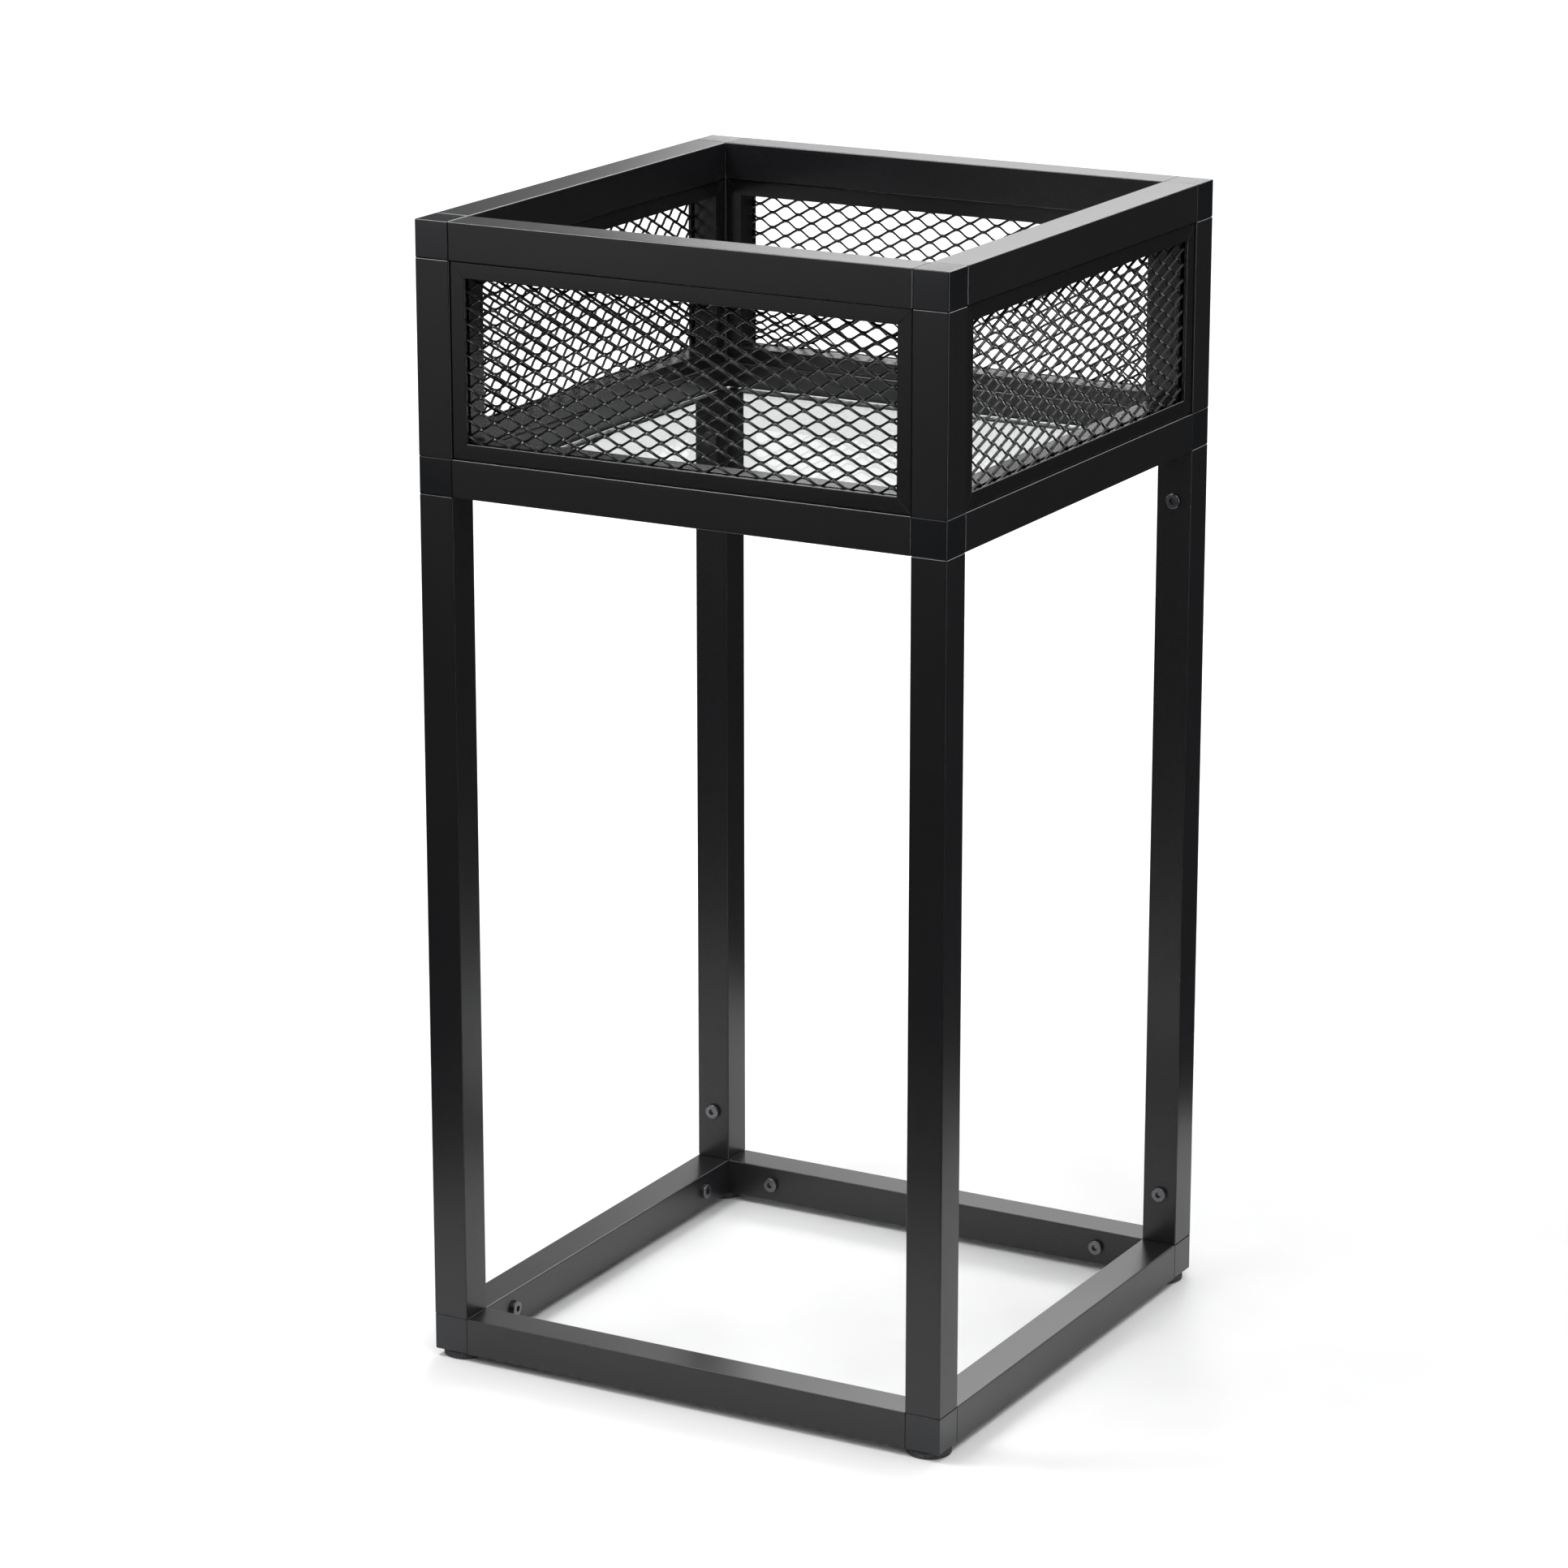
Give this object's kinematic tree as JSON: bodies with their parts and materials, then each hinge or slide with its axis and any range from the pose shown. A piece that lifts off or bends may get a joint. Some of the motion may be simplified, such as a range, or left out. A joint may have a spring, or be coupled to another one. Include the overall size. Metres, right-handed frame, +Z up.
{
  "type": "square tube stand with mesh basket",
  "caption": "Tall open stand of square tubes and cube connectors, with an open-topped basket of expanded-metal panels and a lift-out glass floor, on round pads.",
  "frame": {"origin": "centre of the square footprint, on the ground under the pads", "axes": "+Z up; -Y is the front face; +X is the right-hand side seen from the front"},
  "size_m": [0.38, 0.38, 0.77],
  "materials": {
    "tube_black": "satin",
    "connector_black": "satin",
    "panel_black": "satin",
    "mesh_black": "satin",
    "screw_steel": "satin",
    "pad_rubber": "matte",
    "clear_glass": "gloss"
  },
  "bodies": {
    "stand": {"top_corner_front_left": "connector_black", "top_corner_front_right": "connector_black", "top_corner_back_right": "connector_black", "top_corner_back_left": "connector_black", "mid_corner_front_left": "connector_black", "mid_corner_front_right": "connector_black", "mid_corner_back_right": "connector_black", "mid_corner_back_left": "connector_black", "bottom_corner_front_left": "connector_black", "bottom_corner_front_right": "connector_black", "bottom_corner_back_right": "connector_black", "bottom_corner_back_left": "connector_black", "top_rail_front": "tube_black", "top_rail_right": "tube_black", "top_rail_back": "tube_black", "top_rail_left": "tube_black", "mid_rail_front": "tube_black", "mid_rail_right": "tube_black", "mid_rail_back": "tube_black", "mid_rail_left": "tube_black", "bottom_rail_front": "tube_black", "bottom_rail_right": "tube_black", "bottom_rail_back": "tube_black", "bottom_rail_left": "tube_black", "upper_post_front_left": "tube_black", "upper_post_front_right": "tube_black", "upper_post_back_right": "tube_black", "upper_post_back_left": "tube_black", "lower_leg_front_left": "tube_black", "lower_leg_front_right": "tube_black", "lower_leg_back_right": "tube_black", "lower_leg_back_left": "tube_black", "panel_frame_front": "panel_black", "panel_frame_right": "panel_black", "panel_frame_back": "panel_black", "panel_frame_left": "panel_black", "panel_mesh_front": "mesh_black", "panel_mesh_right": "mesh_black", "panel_mesh_back": "mesh_black", "panel_mesh_left": "mesh_black", "rail_screw_front_a": "screw_steel", "rail_screw_front_b": "screw_steel", "rail_screw_right_a": "screw_steel", "rail_screw_right_b": "screw_steel", "rail_screw_back_a": "screw_steel", "rail_screw_back_b": "screw_steel", "rail_screw_left_a": "screw_steel", "rail_screw_left_b": "screw_steel", "leg_screw_front_left": "screw_steel", "leg_screw_front_right": "screw_steel", "leg_screw_back_right": "screw_steel", "leg_screw_back_left": "screw_steel", "foot_front_left": "pad_rubber", "foot_front_right": "pad_rubber", "foot_back_right": "pad_rubber", "foot_back_left": "pad_rubber"},
    "glass": {"glass_shelf": "clear_glass"}
  },
  "joints": [
    {"name": "glass_lift", "type": "slide", "parent": "stand", "child": "glass", "axis": [0, 0, 1], "range_m": [0, 0.2]}
  ]
}
